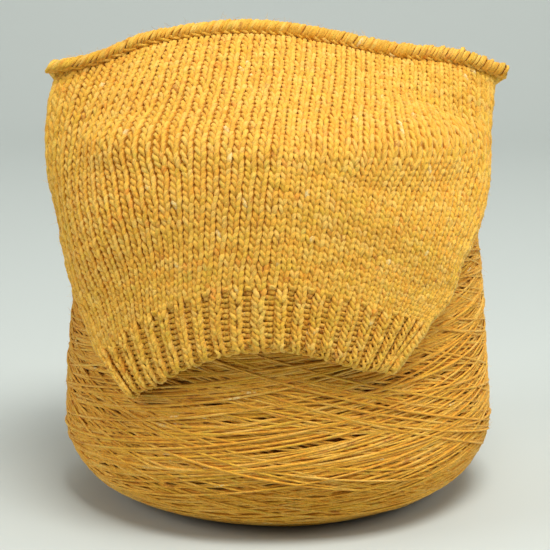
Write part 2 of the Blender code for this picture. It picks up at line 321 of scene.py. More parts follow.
def panel_middle(across, down):
    flat_down = np.maximum(down, 0.0)
    points = panel_curled(across, flat_down)
    _, below, normal = panel_frame(panel_curled, across, flat_down)
    turn = np.maximum(-down, 0.0) * math.radians(ROLL_TURN_DEG)
    return (
        points
        - below * (ROLL_R * np.sin(turn))[..., None]
        + normal * (ROLL_R * (1 - np.cos(turn)))[..., None]
    )


class ClothGrid:
    """The panel's surface, sampled once and then read anywhere by stitch and row.

    stitch runs from 0 at the left fold to WALES at the right fold, and on into the curled edges.
    row runs from 0 at the foot of the top roll down to ROWS at the hem; above 0 it goes round the roll.
    """

    PER_STITCH = 4
    PER_ROW = 3

    def __init__(self):
        self.first_stitch = -CURL_WALES - 0.5
        self.last_stitch = WALES + CURL_WALES + 0.5
        self.first_row = -ROLL_ROWS - 1.0
        self.last_row = ROWS + 1.0
        stitches = np.arange(self.first_stitch, self.last_stitch + 1e-6, 1 / self.PER_STITCH)
        rows = np.arange(self.first_row, self.last_row + 1e-6, 1 / self.PER_ROW)
        stitch, row = np.meshgrid(stitches, rows)
        roll_share = ROW_PITCH / (ROLL_R * math.radians(ROLL_TURN_DEG))
        across = stitch / WALES * 2 - 1
        plain_rows = ROWS - RIB_ROWS
        rib_down = RIB_STARTS + (row - plain_rows) / RIB_ROWS * (1 - RIB_STARTS)
        down = np.where(row < plain_rows, row / plain_rows * RIB_STARTS, rib_down)
        down = np.where(row > 0, down, row * roll_share)
        drift = sum(
            amount * np.exp(-(((across - at) / DRIFT_REACH[0]) ** 2) - ((down - low) / DRIFT_REACH[1]) ** 2)
            for low, amounts in zip(DRIFT_DOWN, WALE_DRIFT)
            for at, amount in zip(DRIFT_ACROSS, amounts)
        )
        across = across + drift * np.clip(1 - across**2, 0.0, 1.0) * 2 / WALES
        corner = smoothstep(0.55, 1.0, np.abs(across))
        raised = (HEM_UP + HEM_CORNER_UP * corner) * smoothstep(0.6, 1.0, down)
        self.points = panel_middle(across, down - raised)
        to_right = np.gradient(self.points, axis=1)
        to_below = np.gradient(self.points, axis=0)
        self.normals = unit(np.cross(to_right, -to_below))
        self.widths = np.linalg.norm(to_right, axis=-1) * self.PER_STITCH

    def at(self, stitch, row):
        """Point, normal and stitch width at any stitch and row."""
        u = np.clip((stitch - self.first_stitch) * self.PER_STITCH, 0, self.points.shape[1] - 1.001)
        v = np.clip((row - self.first_row) * self.PER_ROW, 0, self.points.shape[0] - 1.001)
        i, j = v.astype(int), u.astype(int)
        fv, fu = v - i, u - j
        weights = (
            ((1 - fv) * (1 - fu), i, j),
            ((1 - fv) * fu, i, j + 1),
            (fv * (1 - fu), i + 1, j),
            (fv * fu, i + 1, j + 1),
        )
        point = sum(w[..., None] * self.points[a, b] for w, a, b in weights)
        normal = unit(sum(w[..., None] * self.normals[a, b] for w, a, b in weights))
        width = sum(w * self.widths[a, b] for w, a, b in weights)
        return point, normal, width


def tubes(paths, normals, radii, sides, ids, flatten=1.0):
    """Yarn tubes round many paths of the same number of points, with UVs of length and way round."""
    count, steps = paths.shape[:2]
    tangent = unit(np.gradient(paths, axis=1))
    side = unit(np.cross(tangent, normals))
    up = unit(np.cross(side, tangent))
    angle = np.arange(sides) / sides * 2 * np.pi
    ring = (
        side[:, :, None] * np.cos(angle)[:, None]
        + up[:, :, None] * (flatten * np.sin(angle))[:, None]
    )
    points = (paths[:, :, None] + ring * radii[:, :, None, None]).reshape(-1, 3)
    length = np.concatenate(
        [np.zeros((count, 1)), np.cumsum(np.linalg.norm(np.diff(paths, axis=1), axis=-1), axis=1)], axis=1
    )
    path_no, step_no, side_no = np.meshgrid(
        np.arange(count), np.arange(steps - 1), np.arange(sides), indexing="ij"
    )
    first = (path_no * steps + step_no) * sides
    next_side = (side_no + 1) % sides
    faces = np.stack(
        [first + side_no, first + next_side, first + sides + next_side, first + sides + side_no], axis=-1
    ).reshape(-1, 4)
    low = length[path_no, step_no]
    high = length[path_no, step_no + 1]
    around = side_no / sides
    label = ids[path_no]
    uvs = np.stack(
        [
            np.stack([low, label + around], -1),
            np.stack([low, label + around + 1 / sides], -1),
            np.stack([high, label + around + 1 / sides], -1),
            np.stack([high, label + around], -1),
        ],
        axis=3,
    ).reshape(-1, 2)
    return points, faces, uvs


def mesh_piece(name, points, faces, uvs, material):
    mesh = bpy.data.meshes.new(name)
    mesh.vertices.add(len(points))
    mesh.vertices.foreach_set("co", np.ascontiguousarray(points, dtype=np.float32).ravel())
    mesh.loops.add(faces.size)
    mesh.loops.foreach_set("vertex_index", np.ascontiguousarray(faces, dtype=np.int32).ravel())
    mesh.polygons.add(len(faces))
    mesh.polygons.foreach_set("loop_start", np.arange(0, faces.size, faces.shape[1], dtype=np.int32))
    mesh.update(calc_edges=True)
    if uvs is not None:
        layer = mesh.uv_layers.new(name="Yarn")
        layer.uv.foreach_set("vector", np.ascontiguousarray(uvs, dtype=np.float32).ravel())
    mesh.shade_smooth()
    mesh.validate()
    piece = bpy.data.objects.new(name, mesh)
    bpy.context.scene.collection.objects.link(piece)
    mesh.materials.append(material)
    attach(piece, "root")
    return piece


def smooth_noise(shape, every, amount):
    """Slow random change along the last axis, a new value each so many steps."""
    rows, steps = shape
    knots = int(steps / every) + 4
    values = rng.normal(0, amount, (rows, knots))
    place = np.arange(steps) / every
    i = place.astype(int)
    t = smoothstep(0, 1, place - i)
    return values[:, i] * (1 - t) + values[:, i + 1] * t


# Yarn material: length along the yarn, and its number and way round, come from the Yarn map

def socket(node, name, value):
    node.inputs[name].default_value = value


def link(tree, start, start_name, end, end_name):
    tree.links.new(start.outputs[start_name], end.inputs[end_name])


def math_node(tree, operation, first, second=None, third=None):
    node = tree.nodes.new("ShaderNodeMath")
    node.operation = operation
    for index, value in enumerate((first, second, third)):
        if value is None:
            continue
        if isinstance(value, (int, float)):
            node.inputs[index].default_value = value
        else:
            tree.links.new(value, node.inputs[index])
    return node.outputs[0]


def mix_colour(tree, factor, first, second):
    node = tree.nodes.new("ShaderNodeMix")
    node.data_type = "RGBA"
    for name, value in (("Factor", factor), ("A", first), ("B", second)):
        index = {"Factor": 0, "A": 6, "B": 7}[name]
        if isinstance(value, (int, float, tuple)):
            node.inputs[index].default_value = (*value, 1.0) if isinstance(value, tuple) else value
        else:
            tree.links.new(value, node.inputs[index])
    return node.outputs[2]


def noise(tree, vector, scale, detail=2.0, roughness=0.5):
    node = tree.nodes.new("ShaderNodeTexNoise")
    tree.links.new(vector, node.inputs["Vector"])
    socket(node, "Scale", scale)
    socket(node, "Detail", detail)
    socket(node, "Roughness", roughness)
    return node.outputs["Fac"]


def ramp(tree, value, low, high):
    node = tree.nodes.new("ShaderNodeMapRange")
    node.interpolation_type = "SMOOTHSTEP"
    tree.links.new(value, node.inputs["Value"])
    socket(node, "From Min", low)
    socket(node, "From Max", high)
    return node.outputs["Result"]


KNIT_COLOURS = {
    "base": (0.850, 0.475, 0.052),
    "light": (0.930, 0.600, 0.110),
    "deep": (0.620, 0.275, 0.020),
}
# the cone's yarn is the same yarn as the panel; its colours are given deeper and redder than the knit's as painted
# shade for light bouncing among the packed turns
CONE_SHADED_COLOURS = {
    "base": (0.830, 0.410, 0.033),
    "light": (0.930, 0.560, 0.080),
    "deep": (0.600, 0.225, 0.012),
}
FLECKS = (
    # colour, share of the yarn's length, strength
    ((0.880, 0.700, 0.330), 0.007, 0.75),
    ((0.780, 0.270, 0.030), 0.030, 0.60),
    ((0.400, 0.100, 0.014), 0.012, 0.60),
    ((0.620, 0.470, 0.070), 0.035, 0.50),
)
FLECK_MM = 5.5
ORANGE_TINGE = (0.860, 0.370, 0.026)
GREEN_TINGE = (0.770, 0.490, 0.036)
PALE_TINGE = (0.930, 0.640, 0.170)


def yarn_material(name, colours, twist_pitch, twist_depth, grain=0.45, sheen=0.35):
    """Spun wool: mottled along its length, with rare flecks, a twist and fine fibres."""
    material = bpy.data.materials.new(name)
    material.use_nodes = True
    tree = material.node_tree
    shader = tree.nodes["Principled BSDF"]
    yarn = tree.nodes.new("ShaderNodeUVMap")
    yarn.uv_map = "Yarn"
    split = tree.nodes.new("ShaderNodeSeparateXYZ")
    tree.links.new(yarn.outputs["UV"], split.inputs["Vector"])
    along, label = split.outputs["X"], split.outputs["Y"]
    number = math_node(tree, "FLOOR", label)
    along_mm = math_node(tree, "MULTIPLY", along, 1000.0)
    coords = tree.nodes.new("ShaderNodeTexCoord")
    spot = coords.outputs["Object"]

    # a vector that runs along the yarn, and is new for each yarn
    place = tree.nodes.new("ShaderNodeCombineXYZ")
    tree.links.new(along_mm, place.inputs["X"])
    tree.links.new(math_node(tree, "MULTIPLY", number, 17.3), place.inputs["Y"])
    tree.links.new(math_node(tree, "MULTIPLY", label, 0.9), place.inputs["Z"])
    where = place.outputs["Vector"]

    tone = ramp(tree, noise(tree, where, 0.16, 3.0, 0.65), 0.32, 0.68)
    colour = mix_colour(tree, tone, colours["deep"], colours["light"])
    colour = mix_colour(tree, 0.52, colour, colours["base"])
    for scale, shift, paint in ((0.030, 40.0, ORANGE_TINGE), (0.036, 90.0, GREEN_TINGE), (0.050, 140.0, PALE_TINGE)):
        moved = tree.nodes.new("ShaderNodeVectorMath")
        moved.operation = "ADD"
        tree.links.new(where, moved.inputs[0])
        moved.inputs[1].default_value = (shift, 0.0, shift)
        tinge = ramp(tree, noise(tree, moved.outputs["Vector"], scale, 2.0, 0.5), 0.50, 0.68)
        colour = mix_colour(tree, math_node(tree, "MULTIPLY", tinge, 0.42), colour, paint)

    # flecks: some short lengths of the yarn are of another dyed wool
    length_no = math_node(tree, "MULTIPLY_ADD", along_mm, 1 / FLECK_MM, math_node(tree, "MULTIPLY", number, 0.37))
    cell = tree.nodes.new("ShaderNodeCombineXYZ")
    tree.links.new(math_node(tree, "FLOOR", length_no), cell.inputs["X"])
    tree.links.new(number, cell.inputs["Y"])
    chance = tree.nodes.new("ShaderNodeTexWhiteNoise")
    chance.noise_dimensions = "2D"
    tree.links.new(cell.outputs["Vector"], chance.inputs["Vector"])
    part = math_node(tree, "FRACT", length_no)
    middle = math_node(tree, "MULTIPLY", math_node(tree, "SUBTRACT", 1.0, part), part)
    window = ramp(tree, middle, 0.04, 0.20)
    patchy = ramp(tree, noise(tree, spot, 900.0, 2.0, 0.6), 0.36, 0.56)
    window = math_node(tree, "MULTIPLY", window, patchy)
    top = 1.0
    for paint, share, strength in FLECKS:
        above = math_node(tree, "GREATER_THAN", chance.outputs["Value"], top - share)
        below = math_node(tree, "LESS_THAN", chance.outputs["Value"], top)
        chosen = math_node(tree, "MULTIPLY", above, below)
        mask = math_node(tree, "MULTIPLY", chosen, math_node(tree, "MULTIPLY", window, strength))
        colour = mix_colour(tree, mask, colour, paint)
        top -= share

    # the plies: two strands twisted together, with fine fibres on them; the colour is painted darker in the grooves
    # between the plies as shade, with a fine grain of colour from the fibres
    phase = math_node(tree, "MULTIPLY", along, 2 * math.pi / twist_pitch)
    turn = math_node(tree, "MULTIPLY_ADD", label, 4 * math.pi, phase)
    ply = math_node(tree, "ABSOLUTE", math_node(tree, "SINE", math_node(tree, "MULTIPLY", turn, 0.5)))
    fibre = noise(tree, spot, 2600.0, 3.0, 0.7)
    height = math_node(tree, "MULTIPLY_ADD", fibre, grain, ply)
    # painted shade: the yarn's colour is multiplied darker where the ply twist dips, plus a fine fibre grain
    shade = math_node(tree, "MULTIPLY_ADD", ramp(tree, ply, 0.0, 0.45), 0.20, 0.65)
    shade = math_node(tree, "MULTIPLY_ADD", ramp(tree, fibre, 0.36, 0.64), 0.32, shade)
    ply_shade_and_grain_mix = tree.nodes.new("ShaderNodeMix")
    ply_shade_and_grain_mix.data_type = "RGBA"
    ply_shade_and_grain_mix.blend_type = "MULTIPLY"
    ply_shade_and_grain_mix.inputs[0].default_value = 1.0
    tree.links.new(colour, ply_shade_and_grain_mix.inputs[6])
    grey = tree.nodes.new("ShaderNodeCombineColor")
    for channel in ("Red", "Green", "Blue"):
        tree.links.new(shade, grey.inputs[channel])
    tree.links.new(grey.outputs["Color"], ply_shade_and_grain_mix.inputs[7])
    tree.links.new(ply_shade_and_grain_mix.outputs[2], shader.inputs["Base Color"])

    bump = tree.nodes.new("ShaderNodeBump")
    socket(bump, "Strength", 0.9)
    socket(bump, "Distance", twist_depth)
    tree.links.new(height, bump.inputs["Height"])
    tree.links.new(bump.outputs["Normal"], shader.inputs["Normal"])
    rough = math_node(tree, "MULTIPLY_ADD", fibre, 0.18, 0.66)
    tree.links.new(rough, shader.inputs["Roughness"])
    socket(shader, "Specular IOR Level", 0.25)
    socket(shader, "Sheen Weight", sheen)
    socket(shader, "Sheen Roughness", 0.45)
    shader.inputs["Sheen Tint"].default_value = (1.0, 0.80, 0.42, 1.0)
    return material


def ground_material(name, colour, strand=1.5 * MM, depth=0.5 * MM):
    """The layers under the outer yarns: fine crossing strands seen only in the gaps, in a colour given darker than the
    yarn as painted shade.
    """
    material = bpy.data.materials.new(name)
    material.use_nodes = True
    tree = material.node_tree
    shader = tree.nodes["Principled BSDF"]
    coords = tree.nodes.new("ShaderNodeTexCoord")
    spot = coords.outputs["Object"]
    yarn = tree.nodes.new("ShaderNodeUVMap")
    yarn.uv_map = "Yarn"
    split = tree.nodes.new("ShaderNodeSeparateXYZ")
    tree.links.new(yarn.outputs["UV"], split.inputs["Vector"])
    slope = math.tan(math.radians(FALL_DEG))
    heights = []
    for way in (1, -1):
        across = math_node(tree, "MULTIPLY_ADD", split.outputs["X"], way * slope, split.outputs["Y"])
        wave = math_node(tree, "SINE", math_node(tree, "MULTIPLY", across, 2 * math.pi / strand))
        heights.append(wave)
    top = math_node(tree, "MAXIMUM", heights[0], heights[1])
    blotch = noise(tree, spot, 140.0, 3.0)
    fibre = noise(tree, spot, 2600.0, 2.0)
    colour_out = mix_colour(tree, blotch, tuple(c * 0.7 for c in colour), tuple(min(1.0, c * 1.25) for c in colour))
    tree.links.new(colour_out, shader.inputs["Base Color"])
    height = math_node(tree, "MULTIPLY_ADD", fibre, 0.4, top)
    bump = tree.nodes.new("ShaderNodeBump")
    socket(bump, "Strength", 0.8)
    socket(bump, "Distance", depth)
    tree.links.new(height, bump.inputs["Height"])
    tree.links.new(bump.outputs["Normal"], shader.inputs["Normal"])
    tree.links.new(math_node(tree, "MULTIPLY_ADD", fibre, 0.1, 0.85), shader.inputs["Roughness"])
    socket(shader, "Specular IOR Level", 0.2)
    return material


knit_yarn = yarn_material("knit_yarn", KNIT_COLOURS, 4.2 * MM, 0.10 * MM)
cone_yarn = yarn_material("cone_yarn", CONE_SHADED_COLOURS, 3.6 * MM, 0.05 * MM, grain=0.6)
fuzz_yarn = yarn_material("fuzz_yarn", KNIT_COLOURS, 4.2 * MM, 0.01 * MM)
# painted shade: the cone's ground is coloured far darker than its yarn, for the shade in the gaps between the outer
# strands
cone_shaded_ground = ground_material("cone_shaded_ground", (0.30, 0.105, 0.006), strand=1.2 * MM, depth=0.4 * MM)
# painted shade: the panel's ground is coloured darker than its yarn, for the shade in the holes between the stitches
knit_shaded_ground = ground_material("knit_shaded_ground", (0.60, 0.265, 0.022), strand=2.0 * MM, depth=0.3 * MM)


# Knitted rows

cloth = ClothGrid()


def rib_share(row):
    """0 in the plain knitting, 1 in the ribbed hem."""
    return smoothstep(ROWS - RIB_ROWS - 1.0, ROWS - RIB_ROWS + 1.0, row)


def knit_rows(rows, kind):
    """Yarn paths of these rows. kind(stitch, row) is 1 where a stitch shows its front and -1 its back."""
    first = -CURL_WALES
    stitches = np.arange(first, WALES + CURL_WALES)
    steps = len(stitches) * STITCH_STEPS + 1
    t = np.arange(steps) / STITCH_STEPS
    at = np.clip(t.astype(int), 0, len(stitches) - 1)
    phase = (t - at) * 2 * np.pi
    rows = np.asarray(rows, dtype=float)
    own = np.array([[kind(stitches[a], r) for a in at] for r in rows])
    before = np.array([[kind(stitches[max(a - 1, 0)], r) for a in at] for r in rows])
    after = np.array([[kind(stitches[min(a + 1, len(stitches) - 1)], r) for a in at] for r in rows])

    jitter = rng.normal(0, 1, (len(rows), len(stitches) + 1, 3))
    blend_in = smoothstep(0, 1, (t - at))
    wobble = jitter[:, at] * (1 - blend_in)[None, :, None] + jitter[:, at + 1] * blend_in[None, :, None]

    up = LOOP_HEIGHT * -np.cos(phase) + 0.08 * wobble[..., 1]
    row = rows[:, None] + 0.5 - up
    lean = np.where(phase < np.pi, LEFT_LEG_LEAN, RIGHT_LEG_LEAN)
    stitch = first + t + lean * np.sin(2 * phase) + LEGS_IN * np.sin(phase) + 0.055 * wobble[..., 0]
    depth = -np.cos(2 * phase)
    depth = np.where(depth < 0, BACK_DEPTH * depth, depth) * own
    left_side = (1 - smoothstep(0, math.pi / 2, phase)) * (own - before) / 2
    right_side = smoothstep(3 * math.pi / 2, 2 * math.pi, phase) * (own - after) / 2
    depth = depth + left_side + right_side
    ribbing = rib_share(row)
    stitch = stitch + RIB_WIDEN * np.sin(np.pi * (stitch - 0.5)) * ribbing
    point, normal, width = cloth.at(stitch, row)
    rib = RIB_DEPTH * np.cos(np.pi * (stitch - 0.5)) * ribbing
    from_edge = np.minimum(stitch, WALES - stitch)
    smooth_edge = 1 - smoothstep(0.3, 2.2, from_edge)
    depth = depth * (1 - 0.65 * smooth_edge)
    lift = depth * LOOP_DEPTH + rib + 0.12 * MM * wobble[..., 2]
    lift = lift - 1.2 * MM * np.exp(-((row / 1.0) ** 2))
    lift = lift - HEM_TUCK * smoothstep(ROWS - 0.9, ROWS + 0.6, row)
    radius = YARN_R * (1 + smooth_noise(depth.shape, 9, 0.08)) * np.clip(width / (3.4 * MM), 0.55, 1.05) ** 0.7
    radius = radius * (1 + 0.10 * depth + 0.22 * smooth_edge) * (1 - LEGS_UNEVEN * np.sin(phase))
    radius[:, 0] = radius[:, -1] = 0.02 * MM
    return point + normal * lift[..., None], normal, radius


def stocking(stitch, row):
    return 1


def ribbed(stitch, row):
    return 1 if stitch % 2 == 0 else -1


knit_parts = (
    # name, first row, last row, kind
    ("knit_upper", 0, 17, stocking),
    ("knit_middle", 17, 34, stocking),
    ("knit_lower", 34, ROWS - RIB_ROWS, stocking),
    ("knit_rib", ROWS - RIB_ROWS, ROWS, ribbed),
)
for name, low, high, kind in knit_parts:
    rows = np.arange(low, high)
    paths, normals, radii = knit_rows(rows, kind)
    points, faces, uvs = tubes(paths, normals, radii, STITCH_SIDES, rows + 100.0, flatten=0.92)
    mesh_piece(name, points, faces, uvs, knit_yarn)


def roll_wraps():
    """The rolled edge: three slanting yarns to each stitch, from its foot over the roll and in."""
    count = (WALES + 2 * CURL_WALES) * WRAPS_PER_STITCH
    foot = -CURL_WALES + (np.arange(count) + 0.5) / WRAPS_PER_STITCH + 0.6
    row = np.linspace(0.25, -ROLL_ROWS - 0.9, 24)
    slant = WRAP_SLANT * (0.25 - row)
    uneven = smoothstep(0.70, 0.95, foot / WALES)
    jitter = rng.normal(0, 1, (count, 4))
    stitch = foot[:, None] + slant[None] + 0.07 * jitter[:, :1]
    stitch = np.clip(stitch, -CURL_WALES + 0.1, WALES + CURL_WALES - 0.1)
    point, normal, _ = cloth.at(stitch, row[None] + 0.1 * jitter[:, 1:2])
    spread = 0.12 + 0.30 * uneven[:, None]
    bulge = -0.05 + spread * jitter[:, 2:3] * np.sin(np.linspace(0, np.pi, len(row)))[None]
    lift = -bulge * MM
    radius = WRAP_R * (1 + 0.12 * jitter[:, 3:4]) * (1 - 0.5 * smoothstep(-0.9, 0.25, row))[None]
    points, faces, uvs = tubes(point + normal * lift[..., None], normal, radius, STITCH_SIDES, np.arange(count) + 300.0)
    return mesh_piece("knit_roll", points, faces, uvs, knit_yarn)


roll_wraps()


def edge_cord(name, row, turns_per_stitch, spread, radius, lift):
    """Two yarns twisted round each other along the panel's cast-on or cast-off edge."""
    stitch = np.linspace(-CURL_WALES + 0.1, WALES + CURL_WALES - 0.1, (WALES + 2 * CURL_WALES) * 8)
    paths, normals = [], []
    for start in (0, np.pi):
        angle = stitch * 2 * np.pi * turns_per_stitch + start
        point, normal, width = cloth.at(stitch, row + 0.0 * stitch)
        below, _, _ = cloth.at(stitch, row + 0.3 + 0.0 * stitch)
        down = unit(below - point)
        outwards = lift + spread * np.cos(angle)
        paths.append(point + normal * outwards[:, None] + down * (spread * np.sin(angle))[:, None])
        normals.append(normal)
    radii = np.full((2, len(stitch)), radius)
    radii[:, 0] = radii[:, -1] = 0.02 * MM
    points, faces, uvs = tubes(np.array(paths), np.array(normals), radii, STITCH_SIDES, np.array([1.0, 2.0]) + row)
    return mesh_piece(name, points, faces, uvs, knit_yarn)


cast_on = edge_cord("knit_cast_on", ROWS + 0.05, 0.5, 0.35 * MM, 0.50 * MM, -1.4 * MM)
cast_off = edge_cord("knit_cast_off", -ROLL_ROWS - 0.35, 0.5, 0.6 * MM, 0.72 * MM, 0.0)


# The ground of the panel: a thin sheet in the middle of the stitches, coloured darker than the yarn as painted shade in
# the holes

def ground_sheet():
    stitch, row = np.meshgrid(
        np.linspace(-CURL_WALES + 0.2, WALES + CURL_WALES - 0.2, 2 * (WALES + 2 * CURL_WALES) + 1),
        np.concatenate([np.linspace(-ROLL_ROWS, 0, 4 * ROLL_ROWS + 1)[:-1], np.linspace(0, ROWS - 0.3, 90)]),
    )
    point, normal, _ = cloth.at(stitch, row)
    sunk = (-0.20 - 0.75 * rib_share(row) + 1.05 * smoothstep(0.6, -0.6, row)) * MM
    thick = 0.25 * MM
    grids = (point + normal * (sunk + thick)[..., None], point + normal * (sunk - thick)[..., None])
    rows, columns = stitch.shape
    index = np.arange(rows * columns).reshape(rows, columns)
    outer = np.stack([index[:-1, :-1], index[1:, :-1], index[1:, 1:], index[:-1, 1:]], -1).reshape(-1, 4)
    inner = outer[:, ::-1] + rows * columns
    ring = np.concatenate([index[0, :], index[1:, -1], index[-1, -2::-1], index[-2:0:-1, 0]])
    following = np.roll(ring, -1)
    rim = np.stack([ring, following, following + rows * columns, ring + rows * columns], -1)
    faces = np.concatenate([outer, inner, rim])
    points = np.concatenate([grid.reshape(-1, 3) for grid in grids])
    flat = np.stack([stitch.ravel() * 4.1 * MM, row.ravel() * ROW_PITCH], -1)
    uvs = np.concatenate([flat, flat])[faces.ravel()]
    return mesh_piece("knit_shaded_ground", points, faces, uvs, knit_shaded_ground)


ground = ground_sheet()
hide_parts("knitted_panel")


# The cone: a ground of packed turns, and the outer turns as strands

profile_r, profile_z = package_profile(finer=6)
profile_s = np.concatenate([[0], np.cumsum(np.hypot(np.diff(profile_r), np.diff(profile_z)))])
slope_r, slope_z = np.gradient(profile_r, profile_s), np.gradient(profile_z, profile_s)
TOP_S = profile_s[-1]


def on_package(angle, s, lift):
    """Point and outward normal at an angle round the cone, a length up its outline, and a height off it."""
    r, z = np.interp(s, profile_s, profile_r), np.interp(s, profile_s, profile_z)
    dr, dz = np.interp(s, profile_s, slope_r), np.interp(s, profile_s, slope_z)
    steep = np.hypot(dr, dz)
    nr, nz = dz / steep, -dr / steep
    x, y = np.sin(angle), -np.cos(angle)
    point = np.stack([(r + nr * lift) * x, (r + nr * lift) * y, z + nz * lift], -1)
    normal = np.stack([nr * x, nr * y, nz + 0 * x], -1)
    return point, normal


def cone_ground_piece():
    around, up = 160, 110
    angle = np.linspace(0, 2 * np.pi, around, endpoint=False)
    s = np.linspace(0, TOP_S, up)
    grid_angle, grid_s = np.meshgrid(angle, s)
    point, _ = on_package(grid_angle, grid_s, -DEEPEST - 0.3 * MM)
    point[..., 2] = np.maximum(point[..., 2], 0.0)
    point[0, :, 2] = 0.0
    points = point.reshape(-1, 3)
    index = np.arange(up * around).reshape(up, around)
    right = np.roll(index, -1, axis=1)
    faces = np.stack([index[:-1], right[:-1], right[1:], index[1:]], -1).reshape(-1, 4)
    flat_x = grid_angle * WIDEST_R
    next_x = flat_x + 2 * np.pi * WIDEST_R / around
    uv = np.stack(
        [
            np.stack([flat_x[:-1], grid_s[:-1]], -1),
            np.stack([next_x[:-1], grid_s[:-1]], -1),
            np.stack([next_x[1:], grid_s[1:]], -1),
            np.stack([flat_x[1:], grid_s[1:]], -1),
        ],
        axis=2,
    ).reshape(-1, 2)
    # the flat base and the crown are closed with rings towards the axis
    extra_points, extra_faces, extra_uvs = [], [], []
    for row, z, flip in ((0, 0.0, True), (up - 1, points[index[up - 1, 0], 2], False)):
        ring = index[row]
        radius = np.hypot(*points[ring[0], :2])
        start = len(points) + sum(len(p) for p in extra_points)
        shares = (0.66, 0.33, 0.04)
        rings = [ring]
        for k, share in enumerate(shares):
            extra_points.append(np.stack([points[ring, 0] * share, points[ring, 1] * share, np.full(around, z)], -1))
            rings.append(start + k * around + np.arange(around))
        for a, b, share in zip(rings, rings[1:], shares):
            quads = np.stack([a, np.roll(a, -1), np.roll(b, -1), b], -1)
            extra_faces.append(quads[:, ::-1] if flip else quads)
            extra_uvs.append(np.tile([[0.0, radius * share]], (around * 4, 1)))
    points = np.concatenate([points, *extra_points])
    faces = np.concatenate([faces, *extra_faces])
    uv = np.concatenate([uv, *extra_uvs])
    return mesh_piece("cone_shaded_ground", points, faces, uv, cone_shaded_ground)


cone = cone_ground_piece()
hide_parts("wound_yarn")


def winding():
    """One long path up and down the cone, at even steps: turns round it, and length up its outline."""
    turn_length = 2 * math.pi * 0.083
    ends = np.empty(2 * LAYERS + 1)
    ends[0::2] = rng.uniform(1.0, 36.0, LAYERS + 1) * MM
    short = rng.uniform(0, 1, LAYERS) < 0.62
    ends[1::2] = TOP_S - np.where(short, rng.uniform(62, 96, LAYERS), rng.uniform(4, 62, LAYERS)) * MM
    slopes = np.empty(2 * LAYERS)
    slopes[0::2] = rng.normal(RISE_DEG, RISE_SPREAD, LAYERS)
    slopes[1::2] = rng.normal(FALL_DEG, FALL_SPREAD, LAYERS)
    rise_per_turn = turn_length * np.tan(np.radians(np.clip(slopes, 4.0, 24.0)))
    turns = np.concatenate([[0], np.cumsum(np.abs(np.diff(ends)) / rise_per_turn)])
    t = np.arange(0, turns[-1], STRAND_STEP / turn_length)
    s = np.interp(t, turns, ends)
    half = 6
    kernel = np.hanning(2 * half + 3)[1:-1]
    s = np.convolve(np.pad(s, half, mode="edge"), kernel / kernel.sum(), mode="valid")
    return t, s


def cone_strands():
    """The outer turns, cut into chunks that each have a number of their own for their colours."""
    t, s = winding()
    wander = smooth_noise((1, len(t)), 13, 0.7)[0] * MM
    order = np.linspace(0, 1, len(t))
    lift = -DEEPEST + (DEEPEST - OUTERMOST) * order + smooth_noise((1, len(t)), 8, 0.25)[0] * MM
    angle = 2 * np.pi * t + 1.3
    lumps = 0.35 * MM * np.sin(3 * angle + s * 95 + 1.1) * np.sin(s * 41 + 2 * angle)
    point, normal = on_package(angle, np.clip(s + wander, 0.5 * MM, TOP_S - 2 * MM), lift + lumps)
    radius = STRAND_R * (1 + smooth_noise((1, len(t)), 4, 0.12)[0])
    point[:, 2] = np.maximum(point[:, 2], radius + 0.02 * MM)
    chunks = (len(t) - 1) // CHUNK_STEPS
    index = np.arange(chunks)[:, None] * CHUNK_STEPS + np.arange(CHUNK_STEPS + 1)
    numbers = np.arange(chunks) + 1.0
    for number, part in enumerate(np.array_split(np.arange(chunks), 3)):
        rows = index[part]
        points, faces, uvs = tubes(point[rows], normal[rows], radius[rows], STRAND_SIDES, numbers[part])
        mesh_piece(f"cone_strands_{number + 1}", points, faces, uvs, cone_yarn)
    return point, normal, radius


def crown_turns():
    """Close turns over the nose and crown, seen between the crossing ones."""
    steps = CROWN_TURNS * CROWN_STEPS + 1
    angle = np.arange(steps) * 2 * np.pi / CROWN_STEPS
    s = np.linspace(TOP_S - CROWN_REACH, TOP_S + CROWN_FLAT_R - 1 * MM, steps)
    lift = -CROWN_SUNK + smooth_noise((1, steps), 9, 0.12)[0] * MM
    point, normal = on_package(angle, np.minimum(s, TOP_S), lift)
    inward = 1 - np.maximum(s - TOP_S, 0.0) / CROWN_FLAT_R
    point[:, :2] *= inward[:, None]
    radius = STRAND_R * 1.15 * (1 + smooth_noise((1, steps), 6, 0.10)[0])
    parts = np.arange(CROWN_TURNS // 4)
    index = parts[:, None] * 4 * CROWN_STEPS + np.arange(4 * CROWN_STEPS + 1)
    points, faces, uvs = tubes(point[index], normal[index], radius[index], STRAND_SIDES, parts + 500.0)
    return mesh_piece("cone_crown", points, faces, uvs, cone_yarn)


strand_points, strand_normals, strand_radii = cone_strands()
crown_turns()


# Fuzz: fine fibres that stand off the yarns, as narrow curved ribbons

